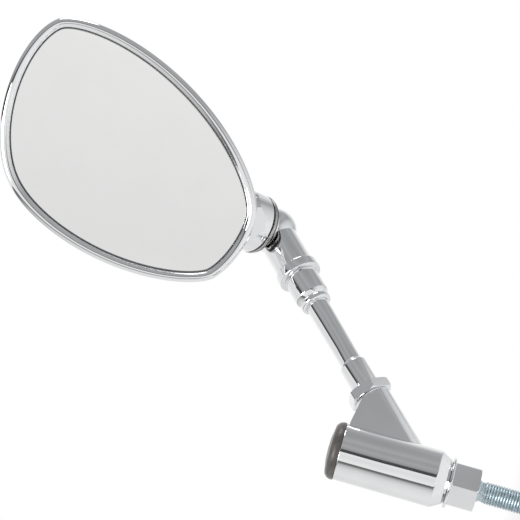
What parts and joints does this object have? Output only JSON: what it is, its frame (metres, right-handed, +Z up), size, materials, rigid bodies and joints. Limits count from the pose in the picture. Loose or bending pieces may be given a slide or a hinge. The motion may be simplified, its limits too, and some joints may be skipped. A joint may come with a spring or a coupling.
{
  "type": "motorcycle mirror",
  "caption": "Chrome screw-in motorcycle mirror: threaded stud with friction pivot, round stem with jam nut, elbow with ball joint, teardrop head with flat glass",
  "frame": {"origin": "on the stud axis, at the shoulder of the base hexagon that seats on the lever bracket", "axes": "+X towards the lean of the stem, +Y square to the plane of stud and stem, +Z up the stud and the pivot"},
  "size_m": [0.1578, 0.0994, 0.2863],
  "materials": {
    "chrome": "polished",
    "zinc_steel": "zinc plated",
    "plain_steel": "oiled",
    "bronze": "sintered",
    "nylon": "moulded",
    "cap_plastic": "satin moulded",
    "seal_rubber": "moulded",
    "mirror_glass": "silvered",
    "foam_pad": "closed cell foam"
  },
  "bodies": {
    "base": {"pivot_stud": "zinc_steel", "base_hex": "chrome", "friction_washer": "chrome", "disc_springs": "plain_steel", "top_washer": "plain_steel", "lock_nut": "zinc_steel", "nut_insert": "nylon"},
    "arm": {"pivot_housing": "chrome", "pivot_bush": "bronze", "thrust_washer": "plain_steel", "end_cap": "cap_plastic", "jam_nut": "chrome"},
    "stem": {"stem": "chrome", "stem_ring": "chrome", "clamp_sleeve": "chrome", "elbow": "chrome"},
    "ball_spin": {"seat_rear": "nylon"},
    "ball_tilt": {"seat_front": "nylon"},
    "head": {"seat_spring": "plain_steel", "socket_gasket": "seal_rubber", "trim_ring": "chrome", "dust_seal": "seal_rubber", "head_shell": "chrome", "glass_seal": "seal_rubber", "mirror_glass": "mirror_glass", "backing_pad": "foam_pad"}
  },
  "joints": [
    {"name": "base_pivot", "type": "hinge", "parent": "base", "child": "arm", "pos_m": [0, 0, 0], "axis": [0, 0, 1], "continuous": true},
    {"name": "stem_turn", "type": "hinge", "parent": "arm", "child": "stem", "pos_m": [0, 0, 0.0275], "axis": [0.757, 0, 0.6534], "range_deg": [-180, 180]},
    {"name": "head_spin", "type": "hinge", "parent": "stem", "child": "ball_spin", "pos_m": [0.10892, -0.00809, 0.13575], "axis": [0.3472, 0.5863, -0.7319], "continuous": true},
    {"name": "head_tilt", "type": "hinge", "parent": "ball_spin", "child": "ball_tilt", "pos_m": [0.10892, -0.00809, 0.13575], "axis": [-0.7709, 0.6228, 0.1332], "range_deg": [-6, 6]},
    {"name": "head_nod", "type": "hinge", "parent": "ball_tilt", "child": "head", "pos_m": [0.10892, -0.00809, 0.13575], "axis": [0.5339, 0.518, 0.6683], "range_deg": [-6, 6]}
  ]
}
